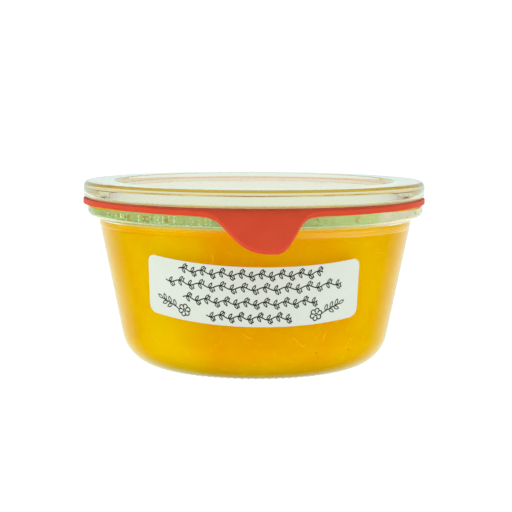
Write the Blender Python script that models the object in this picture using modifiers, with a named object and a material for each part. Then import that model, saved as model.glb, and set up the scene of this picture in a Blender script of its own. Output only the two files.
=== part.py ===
"""A low, wide preserving jar of marmalade, shut with a loose glass lid on a rubber ring.

The jar stands on the plane Z = 0 with its axis on Z. The label and the ring's pull tab face -Y.
Sizes are in metres.
"""

from math import atan, atan2, cos, degrees, exp, hypot, pi, radians, sin

import bmesh
import bpy

GAP = 0.0003  # clearance between pieces that touch
TURN_STEPS = 72  # flats round every turned piece

# Jar: a cone that widens upwards, then a short neck and a thick flange
WALL_TAPER = 0.2005  # growth of the radius for each metre of height
WALL_RADIUS_AT_NECK = 0.04916
NECK_FOOT_Z = 0.04515
NECK_TOP_RADIUS = 0.04935
FLANGE_RADIUS = 0.0529
FLANGE_UNDER_Z = 0.04726
RIM_Z = 0.05095  # the flat land that the rubber ring lies on
FLANGE_UPPER_ROUND = 0.0018
FLANGE_LOWER_ROUND = 0.00205
MOUTH_RADIUS = 0.0465
MOUTH_ROUND = 0.0008
WALL_THICKNESS = 0.0040
BASE_THICKNESS = 0.0050
FOOT_ROUND = 0.0121  # outer radius between the wall and the base
FLOOR_ROUND = 0.0080  # the same corner inside
MOUTH_FOOT_Z = 0.0445  # where the tapered inside meets the straight mouth

# Rubber ring: flat where it is clamped, drooping where it sticks out, with one pull tab
RING_INNER_RADIUS = 0.0470
RING_THICKNESS = 0.0017
RING_FLAT_WIDTH = 0.0042
RING_BEND = 0.00087  # length of the bend
RING_LIP = 0.0020  # length of the drooping lip
LIP_DROOP = radians(20)
TAB_DROOP = radians(36)
TAB_BEND = 0.0040
TAB_LENGTH = 0.0167
TAB_CENTRE = radians(5.35)  # to the right of the front
TAB_LEFT_SPREAD = radians(13.5)
TAB_RIGHT_SPREAD = radians(7.5)
TAB_LEFT_POWER = 3.0
TAB_RIGHT_POWER = 2.05

# Lid: a disc with a raised, rounded rim and a plug underneath that enters the ring
LID_RADIUS = 0.0538
LID_TOP_Z = 0.05825
LID_SEAT_Z = RIM_Z + 2 * GAP + RING_THICKNESS
LID_SEAT_RADIUS = 0.0521
LID_FLAT_TOP_RADIUS = 0.0525  # outer end of the rim's level top
LID_SIDE_Z = (0.0542, 0.0561)  # the upright part of the side
LID_SHIFT = -0.0004  # lid and ring lie a little to the left
LID_RECESS_RADIUS = 0.0440
LID_RECESS_DEPTH = 0.0014
LID_RIM_SLOPE = 0.0014
PLUG_RADIUS = 0.0459
PLUG_DEPTH = 0.0029
PLUG_ROUND = 0.0008

# Marmalade and label
FILL_Z = 0.0461
LABEL_WIDTH = 0.0675
LABEL_HEIGHT = 0.0183
LABEL_THICKNESS = 0.0003
LABEL_CORNER = 0.0025
LABEL_MIDDLE_Z = 0.02675
LABEL_SHIFT = -0.0005  # to the left of the front
LABEL_TILT = radians(-0.8)


def material(name, colour, roughness, metallic=0.0, transmission=0.0):
    """A Principled material with one colour."""
    made = bpy.data.materials.new(name)
    made.use_nodes = True
    made.diffuse_color = (*colour, 1.0)
    shader = made.node_tree.nodes["Principled BSDF"]
    shader.inputs["Base Color"].default_value = (*colour, 1.0)
    shader.inputs["Roughness"].default_value = roughness
    shader.inputs["Metallic"].default_value = metallic
    shader.inputs["Transmission Weight"].default_value = transmission
    return made


def add_object(name, mesh, collection, finish):
    """An object for a finished mesh, shaded smooth except at its corners."""
    mesh.materials.append(finish)
    mesh.shade_smooth()
    mesh.set_sharp_from_angle(angle=radians(35))
    made = bpy.data.objects.new(name, mesh)
    collection.objects.link(made)
    return made


def oval(centre, width, height, start, end, steps):
    """Points (x, z) on part of an oval, with angles in degrees from +X towards +Z."""
    angles = [radians(start + (end - start) * i / steps) for i in range(steps + 1)]
    return [(centre[0] + width * cos(a), centre[1] + height * sin(a)) for a in angles]


def arc(centre, radius, start, end, steps):
    """Points (x, z) on an arc, with angles in degrees from +X towards +Z."""
    return oval(centre, radius, radius, start, end, steps)


def turned(name, profile, collection, finish):
    """A turned solid: the profile of (x, z) points runs down its outer side."""
    mesh = bpy.data.meshes.new(name)
    edges = [(i, i + 1) for i in range(len(profile) - 1)]
    mesh.from_pydata([(x, 0.0, z) for x, z in profile], edges, [])
    made = add_object(name, mesh, collection, finish)
    screw = made.modifiers.new("turn", "SCREW")
    screw.axis = "Z"
    screw.steps = TURN_STEPS
    screw.render_steps = TURN_STEPS
    screw.use_merge_vertices = True
    screw.merge_threshold = 0.00005
    screw.use_smooth_shade = True
    return made


def wall_radius(z):
    """Outer radius of the tapered wall."""
    return WALL_RADIUS_AT_NECK + WALL_TAPER * (z - NECK_FOOT_Z)


def cavity_radius(z):
    """Inner radius of the tapered wall."""
    return wall_radius(z) - WALL_THICKNESS * hypot(1, WALL_TAPER)


def corner_of_wall(radius_at, bottom, rounding, steps, inset=0.0):
    """The round between a tapered wall and a floor, from the wall down to the floor."""
    centre_z = bottom + rounding
    centre_x = radius_at(centre_z) - rounding * hypot(1, WALL_TAPER)
    return arc((centre_x, centre_z), rounding - inset, -degrees(atan(WALL_TAPER)), -90, steps)


def jar_profile():
    """Inside from the middle of the floor up, over the flange, and down the outside."""
    profile = [(0.0, BASE_THICKNESS)]
    profile += reversed(corner_of_wall(cavity_radius, BASE_THICKNESS, FLOOR_ROUND, 5))
    profile.append((cavity_radius(MOUTH_FOOT_Z), MOUTH_FOOT_Z))
    profile += arc((MOUTH_RADIUS + MOUTH_ROUND, RIM_Z - MOUTH_ROUND), MOUTH_ROUND, 180, 90, 3)
    flange_corner = FLANGE_RADIUS - FLANGE_UPPER_ROUND
    profile += arc((flange_corner, RIM_Z - FLANGE_UPPER_ROUND), FLANGE_UPPER_ROUND, 90, 0, 4)
    flange_corner = FLANGE_RADIUS - FLANGE_LOWER_ROUND
    profile += arc((flange_corner, FLANGE_UNDER_Z + FLANGE_LOWER_ROUND), FLANGE_LOWER_ROUND, 0, -90, 4)
    profile.append((NECK_TOP_RADIUS, FLANGE_UNDER_Z))
    profile.append((wall_radius(NECK_FOOT_Z), NECK_FOOT_Z))
    profile += corner_of_wall(wall_radius, 0.0, FOOT_ROUND, 7)
    profile.append((0.0, 0.0))
    return profile


def marmalade_profile():
    """What the jar holds, clear of the glass."""
    foot = cavity_radius(MOUTH_FOOT_Z)
    up_the_mouth = (FILL_Z - MOUTH_FOOT_Z) / (RIM_Z - MOUTH_ROUND - MOUTH_FOOT_Z)
    edge = foot + (MOUTH_RADIUS - foot) * up_the_mouth
    profile = [(0.0, FILL_Z), (edge - GAP, FILL_Z), (foot - GAP, MOUTH_FOOT_Z)]
    profile += corner_of_wall(cavity_radius, BASE_THICKNESS, FLOOR_ROUND, 5, inset=GAP)
    profile.append((0.0, BASE_THICKNESS + GAP))
    return profile


def lid_profile():
    """Recessed top, raised rim, and the plug below the seat."""
    recess_z = LID_TOP_Z - LID_RECESS_DEPTH
    profile = [(0.0, recess_z), (LID_RECESS_RADIUS - LID_RIM_SLOPE / 2, recess_z)]
    profile.append((LID_RECESS_RADIUS + LID_RIM_SLOPE / 2, LID_TOP_Z))
    side_foot_z, side_top_z = LID_SIDE_Z
    upper = (LID_RADIUS - LID_FLAT_TOP_RADIUS, LID_TOP_Z - side_top_z)
    profile += oval((LID_FLAT_TOP_RADIUS, side_top_z), *upper, 90, 0, 5)
    lower = (LID_RADIUS - LID_SEAT_RADIUS, side_foot_z - LID_SEAT_Z)
    profile += oval((LID_SEAT_RADIUS, side_foot_z), *lower, 0, -90, 4)
    profile.append((PLUG_RADIUS, LID_SEAT_Z))
    plug_corner = (PLUG_RADIUS - PLUG_ROUND, LID_SEAT_Z - PLUG_DEPTH + PLUG_ROUND)
    profile += arc(plug_corner, PLUG_ROUND, 0, -90, 3)
    profile.append((0.0, LID_SEAT_Z - PLUG_DEPTH))
    return profile


def tab_reach(angle):
    """How far the tab sticks out of the ring's plain edge at this angle from the front."""
    side = angle - TAB_CENTRE
    if side < 0:
        return TAB_LENGTH * exp(-((-side / TAB_LEFT_SPREAD) ** TAB_LEFT_POWER))
    return TAB_LENGTH * exp(-((side / TAB_RIGHT_SPREAD) ** TAB_RIGHT_POWER))


def droop(distance):
    """Slope of the rubber below the horizontal, at a distance from its inner edge."""
    past_flat = distance - RING_FLAT_WIDTH
    past_lip = past_flat - RING_BEND - RING_LIP
    lip_share = min(max(past_flat / RING_BEND, 0.0), 1.0)
    tab_share = min(max(past_lip / TAB_BEND, 0.0), 1.0)
    return LIP_DROOP * lip_share + (TAB_DROOP - LIP_DROOP) * tab_share


def rubber_place(distance, steps=60):
    """(radius, z) of the middle of the rubber, at a distance from its inner edge."""
    radius = RING_INNER_RADIUS
    z = RIM_Z + GAP + RING_THICKNESS / 2
    for i in range(steps):
        slope = droop(distance * (i + 0.5) / steps)
        radius += cos(slope) * distance / steps
        z -= sin(slope) * distance / steps
    return radius, z


def ring_angles():
    """Angles from the front, close together across the tab."""
    first = TAB_CENTRE - 2.1 * TAB_LEFT_SPREAD
    last = TAB_CENTRE + 2.9 * TAB_RIGHT_SPREAD
    across = 44
    around = 40
    angles = [first + (last - first) * i / across for i in range(across)]
    angles += [last + (2 * pi + first - last) * i / around for i in range(around)]
    return angles


def add_rubber_ring(collection, finish):
    """The middle sheet of the ring and its tab, thickened evenly to both sides."""
    fixed = [0.0, RING_FLAT_WIDTH, RING_FLAT_WIDTH + RING_BEND / 2, RING_FLAT_WIDTH + RING_BEND]
    plain_edge = RING_FLAT_WIDTH + RING_BEND + RING_LIP
    spread = 5
    angles = ring_angles()
    shape = bmesh.new()
    bmesh.ops.create_grid(shape, x_segments=len(angles), y_segments=len(fixed) + spread - 1, size=1.0)
    rows = len(fixed) + spread
    ordered = sorted(shape.verts, key=lambda v: (round(v.co.x, 4), round(v.co.y, 4)))
    for index, vertex in enumerate(ordered):
        angle = angles[(index // rows) % len(angles)]
        row = index % rows
        if row < len(fixed):
            distance = fixed[row]
        else:
            free = plain_edge - fixed[-1] + tab_reach(angle)
            distance = fixed[-1] + free * (row - len(fixed) + 1) / spread
        radius, z = rubber_place(distance)
        vertex.co = (radius * sin(angle), -radius * cos(angle), z)
    bmesh.ops.remove_doubles(shape, verts=shape.verts, dist=0.00001)
    bmesh.ops.recalc_face_normals(shape, faces=shape.faces)
    mesh = bpy.data.meshes.new("rubber_ring")
    shape.to_mesh(mesh)
    shape.free()
    made = add_object("rubber_ring", mesh, collection, finish)
    sheet = made.modifiers.new("thickness", "SOLIDIFY")
    sheet.thickness = RING_THICKNESS
    sheet.offset = 0.0
    sheet.use_even_offset = True
    return made


def label_place(across, up):
    """Where a point of the flat label lies on the tapered wall."""
    taper_sine = WALL_TAPER / hypot(1, WALL_TAPER)
    to_tip = wall_radius(LABEL_MIDDLE_Z) / taper_sine
    x = LABEL_SHIFT + across * cos(LABEL_TILT) - up * sin(LABEL_TILT)
    y = to_tip + across * sin(LABEL_TILT) + up * cos(LABEL_TILT)
    radius = hypot(x, y) * taper_sine
    angle = atan2(x, y) / taper_sine
    z = NECK_FOOT_Z + (radius - WALL_RADIUS_AT_NECK) / WALL_TAPER
    radius += GAP / cos(atan(WALL_TAPER))
    return radius * sin(angle), -radius * cos(angle), z


def add_label(collection, finish):
    """A rectangle of paper with round corners, wrapped on the wall."""
    half_width = LABEL_WIDTH / 2
    straight = half_width - LABEL_CORNER
    corner_steps = 4
    plain = 22
    turn = [radians(90 * i / corner_steps) for i in range(corner_steps + 1)]
    ends = [(straight + LABEL_CORNER * sin(t), LABEL_CORNER * (1 - cos(t))) for t in turn]
    columns = [(-x, cut) for x, cut in reversed(ends)]
    columns += [(straight * (2 * i / plain - 1), 0.0) for i in range(1, plain)]
    columns += ends
    rows = 4
    shape = bmesh.new()
    bmesh.ops.create_grid(shape, x_segments=len(columns) - 1, y_segments=rows - 1, size=1.0)
    ordered = sorted(shape.verts, key=lambda v: (round(v.co.x, 4), round(v.co.y, 4)))
    for index, vertex in enumerate(ordered):
        x, cut = columns[index // rows]
        half_height = LABEL_HEIGHT / 2 - cut
        vertex.co = label_place(x, half_height * (2 * (index % rows) / (rows - 1) - 1))
    mesh = bpy.data.meshes.new("label")
    shape.to_mesh(mesh)
    shape.free()
    made = add_object("label", mesh, collection, finish)
    sheet = made.modifiers.new("thickness", "SOLIDIFY")
    sheet.thickness = LABEL_THICKNESS
    sheet.offset = 1.0
    return made


def build():
    """Clears the scene and makes the five pieces."""
    for old in list(bpy.data.objects):
        bpy.data.objects.remove(old, do_unlink=True)
    jar = bpy.data.collections.new("marmalade_jar")
    bpy.context.scene.collection.children.link(jar)
    glass = material("clear_glass", (0.86, 0.90, 0.82), 0.05, transmission=1.0)
    rubber = material("red_rubber", (0.62, 0.075, 0.035), 0.45)
    jam = material("orange_jam", (0.80, 0.38, 0.01), 0.25)
    paper = material("white_paper", (0.83, 0.86, 0.80), 0.75)
    turned("glass_jar", jar_profile(), jar, glass)
    turned("marmalade", marmalade_profile(), jar, jam)
    lid = turned("glass_lid", lid_profile(), jar, glass)
    ring = add_rubber_ring(jar, rubber)
    for loose in (lid, ring):
        loose.location.x = LID_SHIFT
    add_label(jar, paper)


build()
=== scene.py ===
from math import atan, atan2, cos, degrees, exp, hypot, pi, radians, sin, tau
from random import Random

import bpy
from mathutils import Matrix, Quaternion, Vector


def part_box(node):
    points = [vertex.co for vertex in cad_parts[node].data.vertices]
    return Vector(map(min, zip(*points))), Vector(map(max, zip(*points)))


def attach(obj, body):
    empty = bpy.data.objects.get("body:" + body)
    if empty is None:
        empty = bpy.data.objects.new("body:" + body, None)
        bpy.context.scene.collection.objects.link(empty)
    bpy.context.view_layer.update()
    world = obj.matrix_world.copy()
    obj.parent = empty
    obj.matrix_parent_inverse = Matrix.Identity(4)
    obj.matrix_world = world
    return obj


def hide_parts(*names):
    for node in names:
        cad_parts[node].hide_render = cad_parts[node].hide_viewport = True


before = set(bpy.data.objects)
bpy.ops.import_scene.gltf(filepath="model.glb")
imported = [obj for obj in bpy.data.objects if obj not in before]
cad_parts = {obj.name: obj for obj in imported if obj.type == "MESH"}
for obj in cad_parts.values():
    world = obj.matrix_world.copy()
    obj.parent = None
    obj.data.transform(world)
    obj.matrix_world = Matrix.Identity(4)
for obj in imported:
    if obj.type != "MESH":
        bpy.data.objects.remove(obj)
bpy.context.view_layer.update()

# The jar is pressed in one mould from clear, slightly green glass: a low bowl that widens
# upwards, a short neck, and a thick flange whose flat top carries the rubber ring.
# The mould leaves a seam at the neck, a row of tiny dots on the foot and a stippled base.
JAR_SIDES = 288
WALL_TAPER = 0.2005
NECK_FOOT_RADIUS = 0.04916
NECK_FOOT_Z = 0.04515
NECK_TOP_RADIUS = 0.04935
FLANGE_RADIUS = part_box("glass_jar")[1].x
FLANGE_UNDER_Z = 0.04726
RIM_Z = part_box("glass_jar")[1].z
FLANGE_UPPER_ROUND = 0.0011
FLANGE_LOWER_ROUND = 0.00205
MOUTH_RADIUS = 0.0465
MOUTH_ROUND = 0.0008
MOUTH_FOOT_Z = 0.0445
MOUTH_SLOPE = 0.0040  # how far below the rim's round the straight mouth begins
WALL_THICKNESS = 0.0040
BASE_THICKNESS = 0.0050
FOOT_ROUND = 0.0121
FLOOR_ROUND = 0.0080
NECK_FILLET = 0.0005
SEAM_Z = 0.0449
SEAM_HEIGHT = 0.00012
BASE_RECESS_RADIUS = 0.0270
BASE_RECESS_DEPTH = 0.0007
STIPPLE_DEPTH = 0.00016
STIPPLE_SPACING = 3  # one bump in so many facets
DOT_Z = 0.0091
DOT_ANGLES = (-19.4, -14.4, -9.4, -4.4, 5.6, 10.6, 25.6, 41.9)  # degrees to the right of the front
DOT_HEIGHT = 0.00038
GLASS_COLOUR = (0.985, 1.0, 0.975, 1)
JAR_DEPTH_COLOUR = (0.90, 0.99, 0.88, 1)
DEPTH_DENSITY = 20.0
GLASS_RIPPLE = 0.00002
GREEN_GLASS = (0.80, 0.98, 0.76, 1)
NECK_GREEN_Z = 0.0476
# green of the thick base glass, darkened with painted contact shade
BASE_GREEN_AND_PAINTED_SHADE = (0.36, 0.70, 0.52, 1)
BASE_GREEN_Z = 0.0013
FLANGE_PAINTED_GLOW_Z = (0.0471, 0.0479)  # heights of a painted highlight line on the flange's lower corner
# strength of the painted highlight glow on the flange's side
FLANGE_PAINTED_GLOW = 0.28
GLASS_INDEX = 1.5
# colour of the painted highlight glow on the glass edges
PAINTED_EDGE_GLOW = (0.98, 1.0, 0.90, 1)
NO_LIGHT = (0.0, 0.0, 0.0, 1)
EDGE_FADE = 0.0004
GLASS_FACE_ON = (0.25, 0.25, 0.05, 1)  # tint of what the glass mirrors face-on; edges mirror all


def oval(centre, width, height, start, end, steps):
    """Points (radius, height) on part of an oval, in degrees from outwards towards up."""
    angles = [radians(start + (end - start) * i / steps) for i in range(steps + 1)]
    return [(centre[0] + width * cos(a), centre[1] + height * sin(a)) for a in angles]


def wall_radius(z):
    """Outer radius of the tapered wall."""
    return NECK_FOOT_RADIUS + WALL_TAPER * (z - NECK_FOOT_Z)


def cavity_radius(z):
    """Inner radius of the tapered wall."""
    return wall_radius(z) - WALL_THICKNESS * hypot(1, WALL_TAPER)


def corner_of_wall(radius_at, bottom, rounding, steps):
    """The round between a tapered wall and a floor, from the floor up to the wall."""
    centre_z = bottom + rounding
    centre_x = radius_at(centre_z) - rounding * hypot(1, WALL_TAPER)
    return oval((centre_x, centre_z), rounding, rounding, -90, -degrees(atan(WALL_TAPER)), steps)


def straight(start, end, steps):
    """Points from start to end, without the two ends themselves."""
    shares = [i / steps for i in range(1, steps)]
    return [(start[0] + (end[0] - start[0]) * s, start[1] + (end[1] - start[1]) * s) for s in shares]


def select_only(piece):
    """Leaves one object selected and active."""
    bpy.ops.object.select_all(action="DESELECT")
    piece.select_set(True)
    bpy.context.view_layer.objects.active = piece


def select_faces(piece, wanted):
    """In edit mode, selects the faces that the rule wanted(face) accepts."""
    bpy.ops.mesh.select_all(action="DESELECT")
    bpy.ops.object.mode_set(mode="OBJECT")
    for face in piece.data.polygons:
        face.select = wanted(face)
    bpy.ops.object.mode_set(mode="EDIT")


def turn(name, profile, sides):
    """A turned piece: a disc at the first (radius, height), extruded ring by ring to the last."""
    bpy.ops.object.select_all(action="DESELECT")
    radius, height = profile[0]
    bpy.ops.mesh.primitive_circle_add(
        vertices=sides, radius=radius, fill_type="NGON", location=(0, 0, height))
    piece = bpy.context.object
    piece.name = name
    bpy.ops.object.transform_apply(location=True, rotation=True, scale=True)
    bpy.ops.object.mode_set(mode="EDIT")
    bpy.ops.mesh.select_all(action="SELECT")
    for next_radius, next_height in profile[1:]:
        rise = (0, 0, next_height - height)
        bpy.ops.mesh.extrude_region_move(TRANSFORM_OT_translate={"value": rise})
        grow = next_radius / radius
        bpy.ops.transform.resize(value=(grow, grow, 1), center_override=(0, 0, next_height))
        radius, height = next_radius, next_height
    bpy.ops.mesh.select_all(action="SELECT")
    bpy.ops.mesh.normals_make_consistent(inside=False)
    bpy.ops.object.mode_set(mode="OBJECT")
    return piece


def smooth(piece, corner=40):
    """Shades a piece smooth, except at corners sharper than so many degrees."""
    select_only(piece)
    bpy.ops.object.shade_smooth_by_angle(angle=radians(corner))


def apply_modifier(piece, kind, **settings):
    """Adds a modifier with these settings and applies it at once."""
    select_only(piece)
    modifier = piece.modifiers.new(kind.lower(), kind)
    for name, value in settings.items():
        setattr(modifier, name, value)
    bpy.ops.object.modifier_apply(modifier=modifier.name)


class Wire:
    """An output socket in a material. Arithmetic on wires adds Math nodes."""

    def __init__(self, tree, socket=None):
        self.tree = tree
        self.socket = socket

    def add(self, kind, sockets=None, output=0, **settings):
        """Any node: its settings come first, then the values or wires of its sockets."""
        made = self.tree.nodes.new("ShaderNode" + kind)
        for name, value in settings.items():
            setattr(made, name, value)
        for name, value in (sockets or {}).items():
            if isinstance(value, Wire):
                self.tree.links.new(value.socket, made.inputs[name])
            else:
                made.inputs[name].default_value = value
        return Wire(self.tree, made.outputs[output] if made.outputs else None)

    def math(self, operation, first, second=0.0):
        """One step of arithmetic on two values or wires."""
        return self.add("Math", {0: first, 1: second}, operation=operation)

    def __add__(self, other):
        return self.math("ADD", self, other)

    __radd__ = __add__

    def __sub__(self, other):
        return self.math("SUBTRACT", self, other)

    def __rsub__(self, other):
        return self.math("SUBTRACT", other, self)

    def __mul__(self, other):
        return self.math("MULTIPLY", self, other)

    __rmul__ = __mul__

    def __abs__(self):
        return self.math("ABSOLUTE", self)

    def between(self, low, high):
        """0 where this is below low, 1 where it is above high, and smooth between."""
        ends = {"Value": self, "From Min": low, "From Max": high}
        return self.add("MapRange", ends, interpolation_type="SMOOTHSTEP")

    def choose(self, low_colour, high_colour):
        """A mix of two colours, by this as the factor."""
        return self.add("Mix", {0: self, 6: low_colour, 7: high_colour}, output=2, data_type="RGBA")

    def axis(self, letter):
        """One coordinate of this place."""
        return self.add("SeparateXYZ", {"Vector": self}, output=letter)

    def noise(self, scale, detail=2.0, roughness=0.5):
        """Cloudy noise at this place, with so many lumps to the metre."""
        sockets = {"Vector": self, "Scale": scale, "Detail": detail, "Roughness": roughness}
        return self.add("TexNoise", sockets)

    def bump(self, distance):
        """A relief of this height in metres."""
        return self.add("Bump", {"Height": self, "Distance": distance, "Strength": 1.0})


def new_material(name):
    """An empty material, and the wire of the object coordinates in it."""
    made = bpy.data.materials.new(name)
    made.use_nodes = True
    made.node_tree.nodes.clear()
    return made, Wire(made.node_tree).add("TexCoord", output="Object")


def wire_surface(place, sockets, **outputs):
    """The shader of a surface, with these sockets, wired to the output of its material."""
    shader = place.add("BsdfPrincipled", sockets)
    place.add("OutputMaterial", {"Surface": shader, **outputs})


def finish_piece(piece, material, slot, *replaced):
    """Gives a finished piece its material and its body; the slot is not used."""
    piece.data.materials.clear()
    piece.data.materials.append(material)
    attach(piece, "root")
    if replaced:
        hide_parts(*replaced)


def clear_glass(name, depth_colour, bands, side, shine, middle=(0, 0, 0)):
    """Pressed glass: clear, tinted in its depth, and in bands between two radii or heights.
    Its side, between two heights, glows with a painted highlight where it turns away, as strong as
    shine."""
    made, place = new_material(name)
    waves = place.noise(95.0, 1.0) + place.noise(420.0, 1.0) * 0.25
    smudge = place.noise(260.0, 3.0).between(0.55, 0.8)
    from_middle = place.add("VectorMath", {0: place, 1: middle}, operation="SUBTRACT")
    level = place.add("VectorMath", {0: from_middle, 1: (1, 1, 0)}, operation="MULTIPLY")
    measures = {
        "height": place.axis("Z"),
        "radius": place.add("VectorMath", {0: level}, output=1, operation="LENGTH"),
    }
    tint = (smudge * 0.1).choose(GLASS_COLOUR, GREEN_GLASS)
    for measure, start, end, soft, colour in bands:
        past_start = measures[measure].between(start - soft, start)
        past_end = measures[measure].between(end, end + soft)
        tint = (past_start * (1 - past_end)).choose(tint, colour)
    # Painted highlight: the side glows where it turns away from the view.
    turned_away = place.add("LayerWeight", {"Blend": 0.5}, output="Facing").between(0.40, 0.75)
    past_side = measures["height"].between(side[1], side[1] + EDGE_FADE)
    on_side = measures["height"].between(side[0], side[0] + EDGE_FADE) * (1 - past_side)
    depth = place.add("VolumeAbsorption", {"Color": depth_colour, "Density": DEPTH_DENSITY})
    wire_surface(place, {
        "Base Color": tint,
        "Roughness": 0.012 + smudge * 0.02,
        "IOR": GLASS_INDEX,
        "Specular Tint": GLASS_FACE_ON,
        "Transmission Weight": 1.0,
        "Emission Color": (turned_away * on_side).choose(NO_LIGHT, PAINTED_EDGE_GLOW),
        "Emission Strength": shine,
        "Normal": waves.bump(GLASS_RIPPLE),
    }, Volume=depth)
    return made


inside = [(0.002, BASE_THICKNESS), (0.020, BASE_THICKNESS)]
inside += corner_of_wall(cavity_radius, BASE_THICKNESS, FLOOR_ROUND, 16)
inside += straight(inside[-1], (cavity_radius(MOUTH_FOOT_Z), MOUTH_FOOT_Z), 12)
mouth_top = RIM_Z - MOUTH_ROUND
inside += [(cavity_radius(MOUTH_FOOT_Z), MOUTH_FOOT_Z), (MOUTH_RADIUS, mouth_top - MOUTH_SLOPE)]
inside += oval((MOUTH_RADIUS + MOUTH_ROUND, mouth_top), MOUTH_ROUND, MOUTH_ROUND, 180, 90, 6)
upper_corner = (FLANGE_RADIUS - FLANGE_UPPER_ROUND, RIM_Z - FLANGE_UPPER_ROUND)
outside = [(upper_corner[0] - 0.0004, RIM_Z)]
outside += oval(upper_corner, FLANGE_UPPER_ROUND, FLANGE_UPPER_ROUND, 90, 0, 10)
under_corner = (FLANGE_RADIUS - FLANGE_LOWER_ROUND, FLANGE_UNDER_Z + FLANGE_LOWER_ROUND)
outside += oval(under_corner, FLANGE_LOWER_ROUND, FLANGE_LOWER_ROUND, 0, -90, 10)
fillet_centre = (NECK_TOP_RADIUS + NECK_FILLET, FLANGE_UNDER_Z - NECK_FILLET)
outside += oval(fillet_centre, NECK_FILLET, NECK_FILLET, 90, 180, 5)
outside.append((wall_radius(NECK_FOOT_Z) + 0.00002, NECK_FOOT_Z + 0.0002))
seam = [(0.0002, 0.0), (0.0001, 0.7), (0.0, 1.0), (-0.0001, 0.7), (-0.0002, 0.0)]
outside += [(wall_radius(SEAM_Z + rise) + SEAM_HEIGHT * out, SEAM_Z + rise) for rise, out in seam]
foot = corner_of_wall(wall_radius, STIPPLE_DEPTH, FOOT_ROUND, 28)
outside += straight(outside[-1], foot[-1], 24)
outside += reversed(foot)
outside += [(foot[0][0] - 0.0008, STIPPLE_DEPTH), (BASE_RECESS_RADIUS + 0.0008, STIPPLE_DEPTH)]
outside += [(BASE_RECESS_RADIUS, BASE_RECESS_DEPTH), (0.002, BASE_RECESS_DEPTH)]
jar = turn("jar_glass", inside + outside, JAR_SIDES)


def facet_at(angle):
    """Which facet round the jar lies at this angle, counted to the right from the front."""
    return round(angle / tau * JAR_SIDES - 0.5) % JAR_SIDES


def facet_of(face):
    """Which facet round the jar a face is."""
    return facet_at(atan2(face.center.x, -face.center.y))


def is_stipple(face):
    """The facets of the resting ring that carry a bump."""
    radius = hypot(face.center.x, face.center.y)
    outer = foot[0][0] + 0.0016
    on_ring = BASE_RECESS_RADIUS + 0.0004 < radius < outer
    low = face.center.z < STIPPLE_DEPTH * 1.9
    return low and on_ring and facet_of(face) % STIPPLE_SPACING == 0


dot_facets = [facet_at(radians(angle)) for angle in DOT_ANGLES]


def is_dot(face):
    """The one facet that holds the middle of each dot."""
    if face.normal.x * face.center.x + face.normal.y * face.center.y < 0:
        return False
    heights = [jar.data.vertices[i].co.z for i in face.vertices]
    return min(heights) <= DOT_Z < max(heights) and facet_of(face) in dot_facets


bpy.ops.object.mode_set(mode="EDIT")
select_faces(jar, is_stipple)
bpy.ops.mesh.inset(thickness=0.00018, depth=STIPPLE_DEPTH * 0.9, use_individual=False)
select_faces(jar, is_dot)
bpy.ops.mesh.inset(thickness=0.00012, depth=DOT_HEIGHT * 0.6, use_individual=True)
bpy.ops.mesh.inset(thickness=0.00014, depth=DOT_HEIGHT * 0.4, use_individual=True)
bpy.ops.object.mode_set(mode="OBJECT")
smooth(jar, 50)
jar_bands = (
    ("height", NECK_GREEN_Z, RIM_Z + 0.01, 0.0014, GREEN_GLASS),
    # the base: green of thick glass, with painted contact shade
    ("height", -0.001, BASE_GREEN_Z, 0.0007, BASE_GREEN_AND_PAINTED_SHADE),
)
pressed_glass = clear_glass(
    "pressed_glass", JAR_DEPTH_COLOUR, jar_bands, side=FLANGE_PAINTED_GLOW_Z, shine=FLANGE_PAINTED_GLOW)
finish_piece(jar, pressed_glass, "clear_glass", "glass_jar")

# The marmalade is a cooked jelly of mandarin and orange, poured in hot, so it fills the jar
# to its neck and lies against the glass. It is cloudy with pulp, and light soaks into it.
JAM_SIDES = 192
JAM_INTO_GLASS = 0.00012
JAM_HOLLOW = 0.0009  # how far the middle of the surface lies below its edge
JAM_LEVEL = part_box("marmalade")[1].z
JAM_PAINTED_GLOW = 0.42  # painted glow, standing in for light that soaks through the jelly from all round
JAM_ORANGE = (0.755, 0.34, 0.0, 1)
JAM_YELLOW = (0.79, 0.53, 0.0, 1)
JAM_PULP = (0.985, 0.74, 0.0, 1)
JAM_THIN = (0.76, 0.56, 0.08, 1)
# painted shade, at the foot of the jelly and along the jar's seam
JAM_PAINTED_SHADE = (0.50, 0.29, 0.0, 1)
# colour of a painted highlight line at the foot of the drawn-back part
JAM_BRINK_HIGHLIGHT = (0.90, 0.80, 0.40, 1)
BRINK_Z = 0.0444
SEAM_LINE_Z = 0.0447
HIGHLIGHT_STREAK_X = -0.0225  # a painted upright highlight streak, left of the label's middle
JAM_LIGHT_REACH = (0.0035, 0.0015, 0.0003)


def jam_radius(z):
    """Where the jelly ends, just inside the glass of the wall."""
    return cavity_radius(z) + JAM_INTO_GLASS


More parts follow.
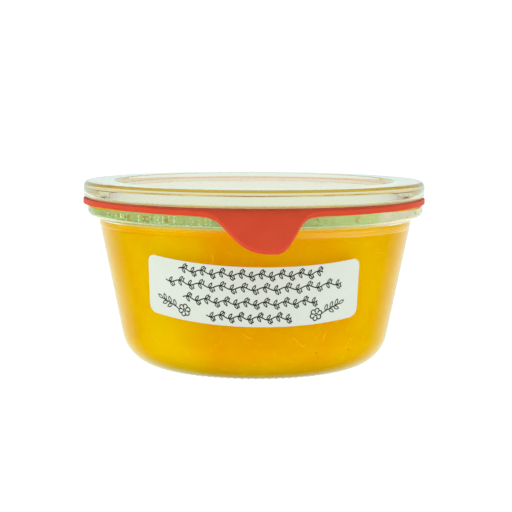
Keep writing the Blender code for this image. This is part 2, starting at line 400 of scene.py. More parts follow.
def jelly(name, shine):
    """Cloudy orange jelly that glows with painted light. It is yellower beside the label, where
    painted side light falls, with a painted upright highlight streak left of the label's middle,
    and darker at the foot with painted shade. Against the glass it has drawn back a little at the
    right of the neck, the jar's seam is painted on it as a dark line of shade at the left, and a
    painted highlight line runs at the foot of the drawn-back part. Shine is its gloss where it
    meets the air, away from the glass."""
    on_glass = 0.0 if shine else 1.0
    made, place = new_material(name)
    height = place.axis("Z")
    across = place.axis("X")
    cloud = place.noise(55.0, 3.0, 0.6)
    pulp = place.noise(330.0, 4.0, 0.65).between(0.52, 0.80)
    # Painted light: yellower beside the label, where side light falls, and in an upright highlight
    # streak.
    beside = abs(across).between(0.016, 0.040)
    # painted shade: darker towards the foot, away from the sides
    low = (1 - height.between(0.0045, 0.0095)) * (1 - beside)
    painted_streak = 1 - abs(across - HIGHLIGHT_STREAK_X).between(0.004, 0.013)
    cloud_and_painted_light = cloud.between(0.25, 0.75) * 0.35 + beside * 0.50 + painted_streak * 0.40
    body = cloud_and_painted_light.choose(JAM_ORANGE, JAM_YELLOW)
    body = (low * 0.30).choose(body, JAM_PAINTED_SHADE)
    drawn_back = height.between(BRINK_Z + 0.0001, BRINK_Z + 0.0003) * across.between(0.006, 0.024)
    body = (drawn_back * 0.7 * on_glass).choose(body, JAM_THIN)
    # painted shade of the jar's seam, a dark line at the left
    painted_seam_shade = 1 - abs(height - SEAM_LINE_Z - across * 0.004).between(0.00006, 0.00016)
    body = (painted_seam_shade * (1 - across.between(-0.030, 0.0)) * 0.6 * on_glass).choose(body, JAM_PAINTED_SHADE)
    # painted highlight line at the foot of the drawn-back part
    painted_brink_highlight = 1 - abs(height - BRINK_Z).between(0.00005, 0.00022)
    body = (painted_brink_highlight * across.between(0.006, 0.030) * 0.6 * on_glass).choose(body, JAM_BRINK_HIGHLIGHT)
    # The jelly glows with painted light in its own colour.
    wire_surface(place, {
        "Base Color": (pulp * 0.35).choose(body, JAM_PULP),
        "Roughness": 0.25 if shine else 1.0,
        "IOR": 1.4 if shine else 1.0,
        "Subsurface Weight": 0.35,
        "Subsurface Radius": JAM_LIGHT_REACH,
        "Subsurface Scale": 1.0,
        "Emission Color": body,
        "Emission Strength": JAM_PAINTED_GLOW,
        "Normal": (pulp + cloud).bump(0.0002 if shine else 0.00002),
    })
    return made


jam_floor_z = BASE_THICKNESS - JAM_INTO_GLASS
shoulder = jam_radius(MOUTH_FOOT_Z)
up_the_mouth = (JAM_LEVEL - MOUTH_FOOT_Z) / (mouth_top - MOUTH_SLOPE - MOUTH_FOOT_Z)
jam_edge = shoulder + (MOUTH_RADIUS + JAM_INTO_GLASS - shoulder) * up_the_mouth
skin_z = JAM_LEVEL - JAM_HOLLOW
filling = [(0.002, jam_floor_z), (0.020, jam_floor_z)]
filling += corner_of_wall(jam_radius, jam_floor_z, FLOOR_ROUND, 16)
filling += straight(filling[-1], (shoulder, MOUTH_FOOT_Z), 12)
filling += [(shoulder, MOUTH_FOOT_Z), (jam_edge, JAM_LEVEL)]
filling += [(0.0452, JAM_LEVEL - 0.0005), (0.0435, JAM_LEVEL - 0.0008), (0.002, skin_z)]
jam = turn("marmalade_fill", filling, JAM_SIDES)
smooth(jam)
finish_piece(jam, jelly("orange_jelly", False), "orange_jam", "marmalade")

skin = turn("marmalade_surface", [
    (0.002, skin_z - 0.0002), (0.0436, skin_z - 0.0002), (jam_edge - 0.0001, JAM_LEVEL - 0.0006),
    (jam_edge, JAM_LEVEL + 0.0001), (0.0460, JAM_LEVEL - 0.0002), (0.0445, skin_z + 0.0003),
    (0.0425, skin_z + 0.0001), (0.002, skin_z + 0.0001)], JAM_SIDES)
smooth(skin)
finish_piece(skin, jelly("wet_jelly", True), "orange_jam")

# Above the jelly the inside of the mouth is misted, with dried froth, tiny bubbles and
# flecks of orange left on the glass where the hot jam was poured in. The mist and the froth
# glow with painted light.
MIST_THICKNESS = 0.00025
MIST_FOOT_Z = JAM_LEVEL + 0.0005
MIST_TOP_Z = mouth_top - 0.0002
MIST_PALE = (0.92, 0.96, 0.66, 1)
MIST_GREEN = (0.72, 0.92, 0.46, 1)
MIST_GREY = (0.93, 0.82, 0.76, 1)  # with the green of the glass before it, a light grey
# dim colour of the mist's painted glow, at its left
MIST_DIM_PAINTED_GLOW = (0.225, 0.2875, 0.144, 1)
MIST_PAINTED_GLOW = 0.32
FLECK_RADIUS = MOUTH_RADIUS + 0.00012
FLECK_TOP_GAP = 0.0001
mist_radius = MOUTH_RADIUS + 0.00008
mist = turn("mouth_mist", [
    (mist_radius - MIST_THICKNESS, MIST_FOOT_Z), (mist_radius, MIST_FOOT_Z),
    (mist_radius, MIST_TOP_Z), (mist_radius - MIST_THICKNESS, MIST_TOP_Z)], JAM_SIDES)
bpy.ops.object.mode_set(mode="EDIT")
select_faces(mist, lambda face: abs(face.normal.z) > 0.9 and len(face.vertices) > 4)
bpy.ops.mesh.bridge_edge_loops()
bpy.ops.mesh.select_all(action="SELECT")
bpy.ops.mesh.normals_make_consistent(inside=False)
bpy.ops.object.mode_set(mode="OBJECT")
smooth(mist)
mist_film, place = new_material("mouth_mist")
fine = place.add("VectorMath", {0: place, 1: (1, 1, 4)}, operation="MULTIPLY")
specks = fine.noise(1100.0, 3.0, 0.7).between(0.55, 0.70)
veil = fine.noise(230.0, 3.0, 0.6).between(0.35, 0.65)
right = place.axis("X").between(0.008, 0.050)
far_right_grey = place.axis("X").between(0.033, 0.037)
film = (specks * 0.6 + veil * 0.3 + right * 0.8).choose(MIST_GREEN, MIST_PALE)
# The film glows with painted light, dim at the left, brighter at the right and grey at the far right.
wire_surface(place, {
    "Base Color": far_right_grey.choose(film, MIST_GREY),
    "Roughness": 0.55,
    "Alpha": 0.50 + specks * 0.25 + veil * 0.15 + far_right_grey * 0.25,
    "Emission Color": far_right_grey.choose(right.choose(MIST_DIM_PAINTED_GLOW, MIST_GREEN), MIST_GREY),
    "Emission Strength": MIST_PAINTED_GLOW,
    "Normal": specks.bump(0.00005),
})
finish_piece(mist, mist_film, "orange_jam")


def flecks(name, count, sizes, angles, reach, flatness, seed):
    """Many small blobs stuck to the mouth, between two angles and down to a reach below
    the top of the mist. They are copied from one blob and joined into one piece."""
    bpy.ops.object.select_all(action="DESELECT")
    bpy.ops.mesh.primitive_ico_sphere_add(subdivisions=2, radius=1)
    piece = bpy.context.object
    piece.name = name
    blobs = [piece] + [piece.copy() for i in range(count - 1)]
    dice = Random(seed)
    for blob in blobs:
        if blob is not piece:
            blob.data = piece.data.copy()
            bpy.context.scene.collection.objects.link(blob)
        angle = radians(dice.uniform(*angles))
        height = dice.uniform(MIST_TOP_Z - reach, MIST_TOP_Z - FLECK_TOP_GAP)
        size = dice.uniform(*sizes)
        width = size * dice.uniform(0.8, 1.5)
        blob.scale = (width, size * flatness, size * dice.uniform(0.15, 0.30))
        blob.rotation_euler = (0, dice.uniform(-0.5, 0.5), angle)
        blob.location = (FLECK_RADIUS * sin(angle), -FLECK_RADIUS * cos(angle), height)
        blob.select_set(True)
    bpy.ops.object.join()
    bpy.ops.object.transform_apply(location=True, rotation=True, scale=True)
    smooth(piece)
    return piece


froth = flecks("froth", 90, (0.00010, 0.00034), (-66, -14), 0.0012, 0.5, 3)
foam, place = new_material("froth")
bubbles = place.noise(1400.0, 2.0)
# The froth glows with painted light.
wire_surface(place, {
    "Base Color": bubbles.choose((0.86, 0.88, 0.74, 1), (0.94, 0.94, 0.86, 1)),
    "Roughness": 0.5,
    "Emission Color": (0.90, 0.92, 0.80, 1),
    "Emission Strength": 0.40,
    "Normal": bubbles.bump(0.00004),
})
finish_piece(froth, foam, "orange_jam")

peel = flecks("orange_flecks", 120, (0.00020, 0.00060), (-180, 180), 0.0014, 0.4, 8)
peel_skin, place = new_material("orange_flecks")
pores = place.noise(1200.0, 2.0)
wire_surface(place, {
    "Base Color": pores.choose((0.82, 0.52, 0.12, 1), (0.86, 0.62, 0.22, 1)),
    "Roughness": 0.4,
    "Normal": pores.bump(0.00004),
})
finish_piece(peel, peel_skin, "orange_jam")

# Fine shreds of peel and pulp were cooked with the jelly. They lie against the glass all
# round, in short loose curls.
SHRED_COUNT = 80
SHRED_RADIUS = 0.00016
SHRED_HEIGHTS = (0.010, 0.043)
SHRED_BEND = 0.28  # radians at each step, at most
SHRED_STEP = 0.0004
SHRED_STEPS = 10


def strands(name, paths, thickness):
    """Thin round strands, one along each path of (place, share of the thickness)."""
    curve = bpy.data.curves.new(name, "CURVE")
    curve.dimensions = "3D"
    curve.bevel_depth = thickness
    curve.bevel_resolution = 1
    curve.use_fill_caps = True
    for path in paths:
        spline = curve.splines.new("POLY")
        spline.points.add(len(path) - 1)
        for point, (place, share) in zip(spline.points, path):
            point.co = (*place, 1)
            point.radius = share
    piece = bpy.data.objects.new(name, curve)
    bpy.context.scene.collection.objects.link(piece)
    select_only(piece)
    bpy.ops.object.convert(target="MESH")
    return bpy.context.object


def shred_path(dice):
    """A short curl just inside the jelly's wall, thickest in its middle."""
    angle = dice.uniform(-pi, pi)
    height = dice.uniform(*SHRED_HEIGHTS)
    heading = dice.uniform(-pi, pi)
    bend = dice.uniform(-SHRED_BEND, SHRED_BEND)
    path = []
    for step in range(SHRED_STEPS):
        radius = jam_radius(height) - 0.00003
        share = 1.0 - 0.6 * abs(2 * step / (SHRED_STEPS - 1) - 1)
        path.append(((radius * sin(angle), -radius * cos(angle), height), share))
        angle += cos(heading) * SHRED_STEP / radius
        height += sin(heading) * SHRED_STEP
        heading += bend
    return path


dice = Random(21)
shreds = strands("peel_shreds", [shred_path(dice) for i in range(SHRED_COUNT)], SHRED_RADIUS)
smooth(shreds)
shred_skin, place = new_material("peel_shreds")
fibres = place.noise(900.0, 2.0)
# The shreds glow with the jelly's painted light.
wire_surface(place, {
    "Base Color": fibres.choose((0.84, 0.47, 0.005, 1), (0.87, 0.57, 0.02, 1)),
    "Roughness": 0.8,
    "Specular IOR Level": 0.0,
    "Emission Color": fibres.choose((0.80, 0.43, 0.0, 1), (0.84, 0.52, 0.01, 1)),
    "Emission Strength": JAM_PAINTED_GLOW,
    "Normal": fibres.bump(0.00002),
})
finish_piece(shreds, shred_skin, "orange_jam")

# The sealing ring is one flat piece of soft red rubber. The lid clamps its inner part,
# its outer edge droops over the flange, and its pull tab hangs down in front.
RING_SIDES = 480
RING_GAP = 0.0003
RING_INNER_RADIUS = 0.0470
RING_THICKNESS = 0.0017
RING_FLAT_WIDTH = 0.0042
RING_BEND = 0.00087
RING_LIP = 0.0018
LIP_DROOP = radians(20)
SIDE_DROOP = radians(1)
TAB_DROOP = radians(36)
TAB_BEND = 0.0040
TAB_LENGTH = 0.0167
TAB_CENTRE = radians(5.35)
TAB_LEFT_SPREAD = radians(13.5)
TAB_RIGHT_SPREAD = radians(7.5)
TAB_LEFT_POWER = 3.0
TAB_RIGHT_POWER = 2.05
RING_EDGE_ROUND = 0.0005
RING_EDGE_STEP = 0.0006  # the last row of faces, wide enough for the round
RING_CLAMPED_ROWS = [0.0, RING_FLAT_WIDTH / 2] + [RING_FLAT_WIDTH + RING_BEND * i / 4 for i in range(5)]
RING_FREE_ROWS = 18
ROW_STEP = 0.001
LID_SHIFT = -0.0004  # ring and lid lie a little to the left of the jar's axis


def tab_reach(angle):
    """How far the tab sticks out of the ring's plain edge at this angle from the front."""
    side = angle - TAB_CENTRE
    if side < 0:
        return TAB_LENGTH * exp(-((-side / TAB_LEFT_SPREAD) ** TAB_LEFT_POWER))
    return TAB_LENGTH * exp(-((side / TAB_RIGHT_SPREAD) ** TAB_RIGHT_POWER))


def droop(distance, angle):
    """Slope of the rubber below the horizontal, at a distance from its inner edge."""
    from_tab = min(max((abs(angle - TAB_CENTRE) - radians(24)) / radians(36), 0.0), 1.0)
    lip_droop = LIP_DROOP + (SIDE_DROOP - LIP_DROOP) * from_tab
    past_flat = distance - RING_FLAT_WIDTH
    past_lip = past_flat - RING_BEND - RING_LIP
    lip_share = min(max(past_flat / RING_BEND, 0.0), 1.0)
    tab_share = min(max(past_lip / TAB_BEND, 0.0), 1.0)
    return lip_droop * lip_share + (TAB_DROOP - LIP_DROOP) * tab_share


def rubber_place(distance, angle, steps=60):
    """(radius, height) of the middle of the rubber, at a distance from its inner edge."""
    radius = RING_INNER_RADIUS
    height = RIM_Z + RING_GAP + RING_THICKNESS / 2
    for i in range(steps):
        slope = droop(distance * (i + 0.5) / steps, angle)
        radius += cos(slope) * distance / steps
        height -= sin(slope) * distance / steps
    return radius, height


def row_distance(row, angle):
    """How far a row of points lies from the ring's inner edge, at this angle."""
    if row < len(RING_CLAMPED_ROWS):
        return RING_CLAMPED_ROWS[row]
    free_width = RING_LIP + tab_reach(angle)
    free_row = row - len(RING_CLAMPED_ROWS) + 1
    if free_row == RING_FREE_ROWS:
        return RING_CLAMPED_ROWS[-1] + free_width
    share = free_row / (RING_FREE_ROWS - 1)
    return RING_CLAMPED_ROWS[-1] + (free_width - RING_EDGE_STEP) * share


bpy.ops.object.select_all(action="DESELECT")
bpy.ops.mesh.primitive_circle_add(vertices=RING_SIDES, radius=RING_INNER_RADIUS, fill_type="NOTHING")
ring = bpy.context.object
ring.name = "sealing_ring"
bpy.ops.object.mode_set(mode="EDIT")
bpy.ops.mesh.select_all(action="SELECT")
for row in range(len(RING_CLAMPED_ROWS) + RING_FREE_ROWS - 1):
    bpy.ops.mesh.extrude_edges_move()
    grow = (RING_INNER_RADIUS + ROW_STEP * (row + 1)) / (RING_INNER_RADIUS + ROW_STEP * row)
    bpy.ops.transform.resize(value=(grow, grow, 1), center_override=(0, 0, 0))
bpy.ops.object.mode_set(mode="OBJECT")
for vertex in ring.data.vertices:
    row = round((hypot(vertex.co.x, vertex.co.y) - RING_INNER_RADIUS) / ROW_STEP)
    angle = atan2(vertex.co.x, -vertex.co.y)
    radius, height = rubber_place(row_distance(row, angle), angle)
    vertex.co = (radius * sin(angle) + LID_SHIFT, -radius * cos(angle), height)
bpy.ops.object.mode_set(mode="EDIT")
bpy.ops.mesh.select_all(action="SELECT")
bpy.ops.mesh.normals_make_consistent(inside=False)
bpy.ops.object.mode_set(mode="OBJECT")
apply_modifier(ring, "SOLIDIFY", thickness=RING_THICKNESS, offset=0.0, use_even_offset=True)
apply_modifier(
    ring, "BEVEL", width=RING_EDGE_ROUND, segments=4, limit_method="ANGLE", angle_limit=radians(50))
smooth(ring, 40)

red_rubber, place = new_material("red_rubber")
dust = place.noise(900.0, 4.0, 0.6)
blotch = place.noise(120.0, 3.0)
wire_surface(place, {
    "Base Color": blotch.between(0.3, 0.7).choose((0.695, 0.067, 0.024, 1), (0.655, 0.060, 0.020, 1)),
    "Roughness": 0.42 + dust * 0.16,
    "Specular IOR Level": 0.2,
    "Subsurface Weight": 0.25,
    "Subsurface Radius": (0.0015, 0.0004, 0.0002),
    "Subsurface Scale": 1.0,
    "Normal": dust.bump(0.00002),
})
finish_piece(ring, red_rubber, "red_rubber", "rubber_ring")

# The lid is a loose disc of the same pressed glass. Its rounded rim rests on the rubber,
# its top is recessed inside a raised edge, and a shallow plug below keeps it centred.
LID_SIDES = 256
LID_RADIUS = 0.0538
LID_TOP_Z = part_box("glass_lid")[1].z
LID_SEAT_Z = RIM_Z + RING_GAP + RING_THICKNESS + 0.00003
LID_SEAT_RADIUS = 0.0521
LID_FLAT_TOP_RADIUS = 0.0525
LID_SIDE_Z = (0.0542, 0.0561)
LID_RECESS_RADIUS = 0.0440
LID_RECESS_DEPTH = 0.0014
LID_RIM_SLOPE = 0.0014
PLUG_RADIUS = 0.0459
PLUG_DEPTH = 0.0029
PLUG_SLOPE = 0.0024
LID_DEPTH_COLOUR = (0.955, 0.95, 0.88, 1)
# strength of the painted highlight glow on the lid's side
LID_PAINTED_EDGE_GLOW = 0.14
LID_SIDE_TINT = (0.79, 0.83, 0.78, 1)
# Bands painted on the lid stand in for refraction: a darker band on the recess slope, amber lines of
# the marmalade near the rim and a pink line of the ring.
LID_SLOPE_PAINTED_REFRACTION = (0.70, 0.76, 0.66, 1)
LID_PAINTED_AMBER_REFRACTION = (0.55, 0.27, 0.01, 1)
LID_PAINTED_FAINT_AMBER_REFRACTION = (0.90, 0.74, 0.42, 1)
LID_PAINTED_RING_REFRACTION = (0.82, 0.64, 0.52, 1)

recess_z = LID_TOP_Z - LID_RECESS_DEPTH
plug_z = LID_SEAT_Z - PLUG_DEPTH
slope_start = LID_RECESS_RADIUS - LID_RIM_SLOPE / 2
top = [(0.002, recess_z), (0.030, recess_z), (slope_start - 0.0006, recess_z)]
for i in range(9):
    rise = LID_RECESS_DEPTH * (1 - cos(pi * i / 8)) / 2
    top.append((slope_start + LID_RIM_SLOPE * i / 8, recess_z + rise))
top += [(slope_start + LID_RIM_SLOPE + 0.0006, LID_TOP_Z)]
side_foot_z, side_top_z = LID_SIDE_Z
top_centre = (LID_FLAT_TOP_RADIUS, side_top_z)
top += oval(top_centre, LID_RADIUS - LID_FLAT_TOP_RADIUS, LID_TOP_Z - side_top_z, 90, 0, 14)
foot_centre = (LID_SEAT_RADIUS, side_foot_z)
below = oval(foot_centre, LID_RADIUS - LID_SEAT_RADIUS, side_foot_z - LID_SEAT_Z, 0, -90, 10)
below += [(LID_SEAT_RADIUS - 0.0006, LID_SEAT_Z), (PLUG_RADIUS + 0.0010, LID_SEAT_Z)]
below += oval((PLUG_RADIUS + 0.0004, LID_SEAT_Z - 0.0004), 0.0004, 0.0004, 90, 140, 4)
below += [(PLUG_RADIUS - PLUG_SLOPE, plug_z + 0.0002), (PLUG_RADIUS - PLUG_SLOPE - 0.0005, plug_z)]
below += [(0.002, plug_z)]
lid = turn("lid_glass", top + below, LID_SIDES)
lid.location.x = LID_SHIFT
bpy.ops.object.transform_apply(location=True, rotation=True, scale=True)
smooth(lid, 50)
lid_bands = (
    ("height", 0.05250, 0.05650, 0.00030, LID_SIDE_TINT),
    # painted refraction bands: the slope, the marmalade near the rim, and the ring
    ("radius", 0.04330, 0.04470, 0.00020, LID_SLOPE_PAINTED_REFRACTION),
    ("radius", 0.05285, 0.05350, 0.00010, LID_PAINTED_AMBER_REFRACTION),
    ("height", 0.05665, 0.05705, 0.00012, LID_PAINTED_FAINT_AMBER_REFRACTION),
    ("radius", 0.04330, 0.04385, 0.00015, LID_PAINTED_RING_REFRACTION),
)
# heights of the lid's side, where it glows with a painted highlight
lid_side = (LID_SEAT_Z - 0.0003, side_top_z)
lid_glass = clear_glass(
    "lid_pressed_glass", LID_DEPTH_COLOUR, lid_bands,
    side=lid_side, shine=LID_PAINTED_EDGE_GLOW, middle=(LID_SHIFT, 0, 0))
finish_piece(lid, lid_glass, "clear_glass", "glass_lid")

# The label is a plain white paper sticker with round corners, glued to the front of the
# tapered wall, so its straight edges follow the cone.
LABEL_WIDTH = 0.0675
LABEL_HEIGHT = 0.0183
LABEL_THICKNESS = 0.00012
LABEL_CORNER = 0.0025
LABEL_MIDDLE_Z = 0.02675
LABEL_SHIFT = -0.0005
LABEL_TILT = radians(-0.8)
LABEL_FOLD = 0.0009
LABEL_ROWS = 12


def on_wall(across, up, lift):
    """Where a point of the flat sticker lies on the tapered wall, lifted off the glass."""
    taper_sine = WALL_TAPER / hypot(1, WALL_TAPER)
    to_tip = wall_radius(LABEL_MIDDLE_Z) / taper_sine
    x = LABEL_SHIFT + across * cos(LABEL_TILT) - up * sin(LABEL_TILT)
    y = to_tip + across * sin(LABEL_TILT) + up * cos(LABEL_TILT)
    slant = hypot(x, y) * taper_sine
    angle = atan2(x, y) / taper_sine
    radius = slant + lift * cos(atan(WALL_TAPER))
    height = NECK_FOOT_Z + (slant - NECK_FOOT_RADIUS) / WALL_TAPER - lift * sin(atan(WALL_TAPER))
    return radius * sin(angle), -radius * cos(angle), height


bpy.ops.object.select_all(action="DESELECT")
bpy.ops.mesh.primitive_plane_add(size=1)
sticker = bpy.context.object
sticker.name = "paper_label"
sticker.scale = (LABEL_WIDTH, LABEL_HEIGHT, 1)
bpy.ops.object.transform_apply(location=True, rotation=True, scale=True)
bpy.ops.object.mode_set(mode="EDIT")
bpy.ops.mesh.select_all(action="SELECT")
bpy.ops.mesh.bevel(affect="VERTICES", offset=LABEL_CORNER, segments=10)
folds = int(LABEL_WIDTH / LABEL_FOLD)
for i in range(1, folds):
    bpy.ops.mesh.select_all(action="SELECT")
    line = (LABEL_WIDTH * (i / folds - 0.5), 0, 0)
    bpy.ops.mesh.bisect(plane_co=line, plane_no=(1, 0, 0))
for i in range(1, LABEL_ROWS):
    bpy.ops.mesh.select_all(action="SELECT")
    line = (0, LABEL_HEIGHT * (i / LABEL_ROWS - 0.5), 0)
    bpy.ops.mesh.bisect(plane_co=line, plane_no=(0, 1, 0))
bpy.ops.object.mode_set(mode="OBJECT")
apply_modifier(sticker, "SOLIDIFY", thickness=LABEL_THICKNESS, offset=1.0)
lowest = min(vertex.co.z for vertex in sticker.data.vertices)
for vertex in sticker.data.vertices:
    vertex.co = on_wall(vertex.co.x, vertex.co.y, vertex.co.z - lowest + 0.00002)
smooth(sticker, 30)

white_paper, place = new_material("white_paper")
fibre = place.noise(2200.0, 3.0, 0.7)
mottle = place.noise(160.0, 2.0)
wire_surface(place, {
    "Base Color": mottle.between(0.3, 0.7).choose((0.69, 0.745, 0.69, 1), (0.705, 0.76, 0.71, 1)),
    "Roughness": 0.55 + fibre * 0.2,
    "Normal": fibre.bump(0.000012),
})
finish_piece(sticker, white_paper, "white_paper", "label")

# The label is printed in one dark ink: four rows of a leafy vine with berries, and a small
# flower with a leafy stem in each lower corner. The ink is a thin film on the paper.
INK_WIDTH = 0.00038
INK_FILM = 0.00003
VINE_ROWS = (  # middle across, middle up, number of bends, their pitch, side of the first
    (-0.0010, 0.0067, 15, 0.00290, 1),
    (0.0000, 0.0026, 17, 0.00320, -1),
    (-0.0010, -0.0019, 14, 0.00290, 1),
    (-0.0012, -0.0064, 9, 0.00280, -1),
)
VINE_RISE = 0.00050
LEAF_LENGTH = 0.00165
LEAF_WIDTH = 0.00062
BERRY_RISE = 0.00125
BERRY_RADIUS = 0.00013
SPRIGS = ((-0.0208, -0.0060, -1), (0.0190, -0.0062, 1))  # flower across, up, side of its stem
PETALS = 6
PETAL_PLACE = 0.00125  # from the middle of the flower
PETAL_RADIUS = 0.00066
SPRIG_LEAVES = ((2, 58), (4, -52), (5, 55), (7, -48), (8, 52), (10, 8))  # place on the stem, lean
strokes = []


def round_stroke(across, up, radius, angles, weight):
    """A stroke along a circle, through these angles."""
    strokes.append([(across + radius * cos(a), up + radius * sin(a), weight) for a in angles])


def leaf(across, up, heading, length, width):
    """A pointed leaf outline that starts here and points along its heading."""
    sides = [(t / 8, width / 2 * sin(pi * t / 8)) for t in range(9)]
    sides += [(t / 8, -width / 2 * sin(pi * t / 8)) for t in range(7, -1, -1)]
    outline = []
    for along, out in sides:
        ahead = along * length
        outline.append((
            across + ahead * cos(heading) - out * sin(heading),
            up + ahead * sin(heading) + out * cos(heading), 0.8))
    strokes.append(outline)


for middle_across, middle_up, bends, pitch, first_side in VINE_ROWS:
    start = middle_across - bends * pitch / 2
    wave = []
    for i in range(bends * 8 + 1):
        rise = first_side * VINE_RISE * sin(pi * i / 8)
        wave.append((start + pitch * i / 8, middle_up + rise, 0.95))
    strokes.append(wave)
    for i in range(bends):
        side = first_side * (-1) ** i
        crest = start + pitch * (i + 0.5)
        stem_up = middle_up + side * VINE_RISE
        leaf(crest, stem_up, side * radians(52), LEAF_LENGTH, LEAF_WIDTH)
        leaf(crest - pitch * 0.10, stem_up, -side * radians(58), LEAF_LENGTH * 1.15, LEAF_WIDTH)
        stalk_foot = crest + pitch * 0.38
        berry = (stalk_foot + 0.00025, middle_up + side * BERRY_RISE)
        strokes.append([(stalk_foot, middle_up + side * VINE_RISE * 0.4, 0.8), (*berry, 0.8)])
        round_stroke(*berry, BERRY_RADIUS, [tau * k / 8 for k in range(9)], 0.8)
for across, up, side in SPRIGS:
    for i in range(PETALS):
        angle = tau * i / PETALS + 0.3
        petal = (across + PETAL_PLACE * cos(angle), up + PETAL_PLACE * sin(angle))
        open_round = [angle + radians(-150 + 300 * k / 12) for k in range(13)]
        round_stroke(*petal, PETAL_RADIUS, open_round, 0.95)
    round_stroke(across, up, 0.00042, [tau * k / 12 for k in range(13)], 0.9)
    strokes.append([(across - 0.00008, up, 1.0), (across + 0.00008, up, 1.0)])
    stem = []
    for k in range(11):
        along = side * (0.0019 + 0.0056 * k / 10)
        stem.append((across + along, up + 0.0022 * (k / 10) ** 0.7, 0.9))
    strokes.append(stem)
    for k, lean in SPRIG_LEAVES:
        heading = radians(18 + lean) if side > 0 else radians(162 - lean)
        leaf(stem[k][0], stem[k][1], heading, 0.0021, 0.00085)

flat_strokes = [[((across, up, 0), weight) for across, up, weight in stroke] for stroke in strokes]
print_film = strands("label_print", flat_strokes, INK_WIDTH / 2)
for vertex in print_film.data.vertices:
    film = INK_FILM * (vertex.co.z / INK_WIDTH + 0.5)
    vertex.co = on_wall(vertex.co.x, vertex.co.y, LABEL_THICKNESS + 0.00002 + film)
smooth(print_film)
dark_ink, place = new_material("dark_ink")
grain = place.noise(1600.0, 2.0)
wire_surface(place, {
    "Base Color": grain.between(0.35, 0.65).choose((0.022, 0.026, 0.017, 1), (0.045, 0.050, 0.034, 1)),
    "Roughness": 0.55,
    "Specular IOR Level": 0.25,
    "Normal": grain.bump(0.000004),
})
finish_piece(print_film, dark_ink, "white_paper")

# The object stands on a plain white table in a white light tent. The tent is bright behind
# and beside the jar, and dim behind the camera, so that only the edges of the glass shine.
FLOOR_SIZE = 6.0
FLOOR_GLOW = 0.97
bpy.ops.object.select_all(action="DESELECT")
bpy.ops.mesh.primitive_plane_add(size=FLOOR_SIZE)
floor = bpy.context.object
floor.name = "floor"
floor_paint, place = new_material("floor_white")
grain = place.noise(4.0, 2.0)
under_jar = place.add("VectorMath", {0: place}, output=1, operation="LENGTH")
# Painted shadow: the floor glows dimmer in a disc under the jar.
clear_of_painted_shadow = under_jar.between(0.020, 0.027)
wire_surface(place, {
    "Base Color": grain.choose((0.13, 0.13, 0.13, 1), (0.15, 0.15, 0.15, 1)),
    "Roughness": 1.0,
    "Specular IOR Level": 0.0,
    "Emission Color": clear_of_painted_shadow.choose((0.25, 0.25, 0.25, 1), (1, 1, 1, 1)),
    "Emission Strength": FLOOR_GLOW,
})
floor.data.materials.append(floor_paint)
floor.visible_glossy = False

BACKDROP_LIGHT = 1.08
BACK_LOW_LIGHT = 1.06
BACK_HIGH_LIGHT = 0.98
FRONT_LIGHT = 0.84
MIRROR_LIGHT = 0.98
MIRROR_TONE = (0.84, 1.0, 0.97, 1)
FRONT_TONE = (1.0, 0.985, 0.90, 1)
BACK_TONE = (0.96, 1.0, 0.93, 1)
SIDE_TONE = (0.90, 1.0, 0.84, 1)
LEFT_LIGHT = 1.05
RIGHT_LIGHT = 0.80
world = bpy.data.worlds.new("light_tent")
world.use_nodes = True
world.node_tree.nodes.clear()
bpy.context.scene.world = world
tent = Wire(world.node_tree).add("TexCoord", output="Generated")
backwards = tent.axis("Y").between(-0.35, 0.35)
high = tent.axis("Z").between(-0.02, 0.10)
back = BACK_LOW_LIGHT + high * (BACK_HIGH_LIGHT - BACK_LOW_LIGHT)
around = FRONT_LIGHT + backwards * (back - FRONT_LIGHT)
seen = tent.add("LightPath", output="Is Camera Ray")
through = tent.add("LightPath", output="Is Transmission Ray")
mirrored = tent.add("LightPath", output="Is Glossy Ray") * (1 - through)
mirror_light = tent.axis("Y").between(0.42, 0.92) * MIRROR_LIGHT
in_glass = around + mirrored * (mirror_light - around)
strength = in_glass + seen * (BACKDROP_LIGHT - in_glass)
tone = mirrored.choose(backwards.choose(FRONT_TONE, BACK_TONE), MIRROR_TONE)
light = tent.add("Background", {"Color": seen.choose(tone, (1, 1, 1, 1)), "Strength": strength})
soaked = tent.add("LightPath", output="Diffuse Depth").between(0.2, 0.8)
upright = 1 - tent.axis("Z").between(0.45, 0.75)
from_left = LEFT_LIGHT * (1 - tent.axis("X").between(-0.95, -0.60))
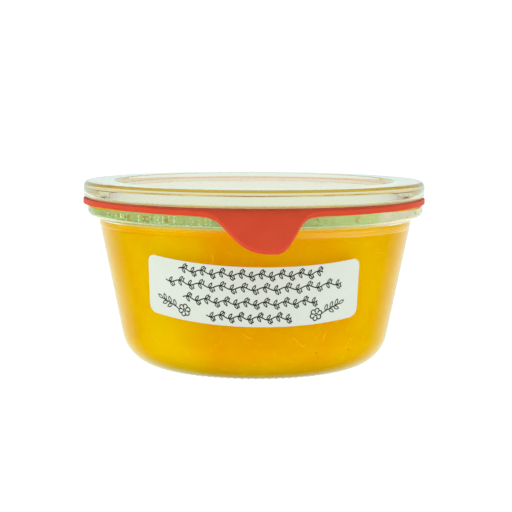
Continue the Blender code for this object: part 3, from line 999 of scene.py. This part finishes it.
from_right = RIGHT_LIGHT * tent.axis("X").between(0.60, 0.95)
beside = (from_left + from_right) * upright * soaked
side_light = tent.add("Background", {"Color": SIDE_TONE, "Strength": beside})
tent.add("OutputWorld", {"Surface": tent.add("AddShader", {0: light, 1: side_light})})


def softbox(name, place, aim, size, power):
    """A rectangular light that shines from place towards aim, and isn't seen in the glass."""
    lamp = bpy.data.lights.new(name, "AREA")
    lamp.shape = "RECTANGLE"
    lamp.size, lamp.size_y = size
    lamp.energy = power
    lamp.color = SIDE_TONE[:3]
    holder = bpy.data.objects.new(name, lamp)
    bpy.context.scene.collection.objects.link(holder)
    holder.location = place
    holder.rotation_euler = (Vector(aim) - Vector(place)).to_track_quat("-Z", "Y").to_euler()
    holder.visible_glossy = False
    holder.visible_transmission = False
    holder.visible_camera = False


middle = (0, 0, 0.03)
softbox("left_softbox", (-0.80, -0.25, 0.12), middle, (1.2, 1.0), 1.3)
softbox("right_softbox", (0.80, -0.15, 0.12), middle, (1.2, 1.0), 0.7)

# The camera stands half a metre in front of the jar and looks down on it a little, and it
# leans by a quarter of a degree, as in the photo.
CAMERA_PLACE = (0.00029, -0.48176, 0.08507)
CAMERA_PITCH = 0.1057
CAMERA_ROLL = 0.0041
PHOTO_PIXELS = 512
FOCAL_PIXELS = 1519.08
lens = bpy.data.cameras.new("camera")
lens.sensor_width = 36.0
lens.lens = FOCAL_PIXELS / PHOTO_PIXELS * lens.sensor_width
lens.clip_start = 0.01
lens.clip_end = 50.0
camera = bpy.data.objects.new("camera", lens)
bpy.context.scene.collection.objects.link(camera)
camera.location = CAMERA_PLACE
level = Quaternion((1, 0, 0), pi / 2 - CAMERA_PITCH)
camera.rotation_euler = (level @ Quaternion((0, 0, 1), CAMERA_ROLL)).to_euler()
bpy.context.scene.camera = camera
bpy.context.scene.view_settings.view_transform = "Standard"
bpy.context.scene.cycles.max_bounces = 32
bpy.context.scene.cycles.transmission_bounces = 32
bpy.context.scene.cycles.glossy_bounces = 32
bpy.context.scene.cycles.diffuse_bounces = 8
